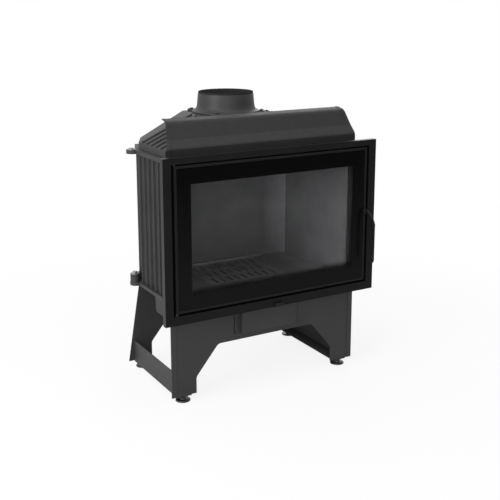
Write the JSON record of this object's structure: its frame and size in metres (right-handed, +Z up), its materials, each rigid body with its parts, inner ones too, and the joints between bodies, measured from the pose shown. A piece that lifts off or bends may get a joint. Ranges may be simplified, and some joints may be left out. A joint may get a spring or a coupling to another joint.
{
  "type": "fireplace insert",
  "caption": "Wood-burning fireplace insert: ribbed cast body on a folded steel stand, hinged glazed door, round flue collar and sheet deflector.",
  "frame": {"origin": "middle of the bounding box in X and Y, on the floor under the feet", "axes": "+X to the right seen from the front, +Y to the back, +Z up"},
  "size_m": [0.8, 0.5174, 0.978],
  "materials": {
    "cast_iron": "matt heat-resistant black paint on a cast surface",
    "sheet_steel": "satin heat-resistant dark grey paint",
    "door_steel": "satin heat-resistant black paint",
    "handle_steel": "black enamel",
    "bare_steel": "plain zinc-plated or bare steel",
    "refractory": "matt refractory board, dark",
    "seal_rope": "braided glass-fibre rope",
    "glass": "glass-ceramic pane with a black printed border"
  },
  "bodies": {
    "root": {"front_frame": "door_steel", "cast_front": "cast_iron", "latch_plate": "cast_iron", "bottom_plate": "cast_iron", "top_plate": "cast_iron", "side_wall_right": "cast_iron", "side_wall_left": "cast_iron", "rear_corner_right": "cast_iron", "rear_corner_left": "cast_iron", "rear_wall": "cast_iron", "hood": "cast_iron", "flue_collar": "cast_iron", "deflector_shroud": "sheet_steel", "front_leg_plate": "sheet_steel", "rear_leg_plate": "sheet_steel", "side_rail_left": "sheet_steel", "side_rail_right": "sheet_steel", "side_bracket_left": "sheet_steel", "side_bracket_right": "sheet_steel", "access_cover": "sheet_steel", "foot_nut_front_left": "bare_steel", "foot_nut_front_right": "bare_steel", "foot_nut_rear_left": "bare_steel", "foot_nut_rear_right": "bare_steel", "lining_right": "refractory", "lining_left": "refractory", "lining_corner_right": "refractory", "lining_corner_left": "refractory", "lining_back": "refractory", "baffle": "refractory", "hearth_floor": "cast_iron", "ash_box": "sheet_steel", "ash_pan": "bare_steel", "air_inlet_spigot": "sheet_steel", "hinge_pin_upper": "bare_steel", "hinge_pin_lower": "bare_steel", "latch_keeper": "bare_steel"},
    "door": {"door_frame": "door_steel", "door_glass": "glass", "glass_tape": "seal_rope", "door_seal": "seal_rope", "glass_clip_upper_left": "bare_steel", "glass_clip_upper_right": "bare_steel", "glass_clip_lower_left": "bare_steel", "glass_clip_lower_right": "bare_steel"},
    "handle": {"door_handle": "handle_steel", "latch_spindle": "bare_steel", "latch_cam": "bare_steel"},
    "air_control": {"air_slider": "handle_steel"},
    "lift_out_grate": {"grate": "cast_iron"},
    "foot_fl": {"foot_front_left": "bare_steel"},
    "foot_fr": {"foot_front_right": "bare_steel"},
    "foot_rl": {"foot_rear_left": "bare_steel"},
    "foot_rr": {"foot_rear_right": "bare_steel"}
  },
  "joints": [
    {"name": "door_hinge", "type": "hinge", "parent": "root", "child": "door", "pos_m": [-0.3575, -0.20229, 0.564], "axis": [0, 0, -1], "range_deg": [0, 105]},
    {"name": "handle_turn", "type": "hinge", "parent": "door", "child": "handle", "pos_m": [0.35825, -0.21129, 0.577], "axis": [0, -1, 0], "range_deg": [0, 60]},
    {"name": "air_slide", "type": "slide", "parent": "root", "child": "air_control", "axis": [0, -1, 0], "range_m": [0, 0.03]},
    {"name": "grate_lift", "type": "slide", "parent": "root", "child": "lift_out_grate", "axis": [0, 0, 1], "range_m": [0, 0.06]},
    {"name": "foot_fl_level", "type": "slide", "parent": "root", "child": "foot_fl", "axis": [0, 0, -1], "range_m": [0, 0.02]},
    {"name": "foot_fr_level", "type": "slide", "parent": "root", "child": "foot_fr", "axis": [0, 0, -1], "range_m": [0, 0.02]},
    {"name": "foot_rl_level", "type": "slide", "parent": "root", "child": "foot_rl", "axis": [0, 0, -1], "range_m": [0, 0.02]},
    {"name": "foot_rr_level", "type": "slide", "parent": "root", "child": "foot_rr", "axis": [0, 0, -1], "range_m": [0, 0.02]}
  ]
}
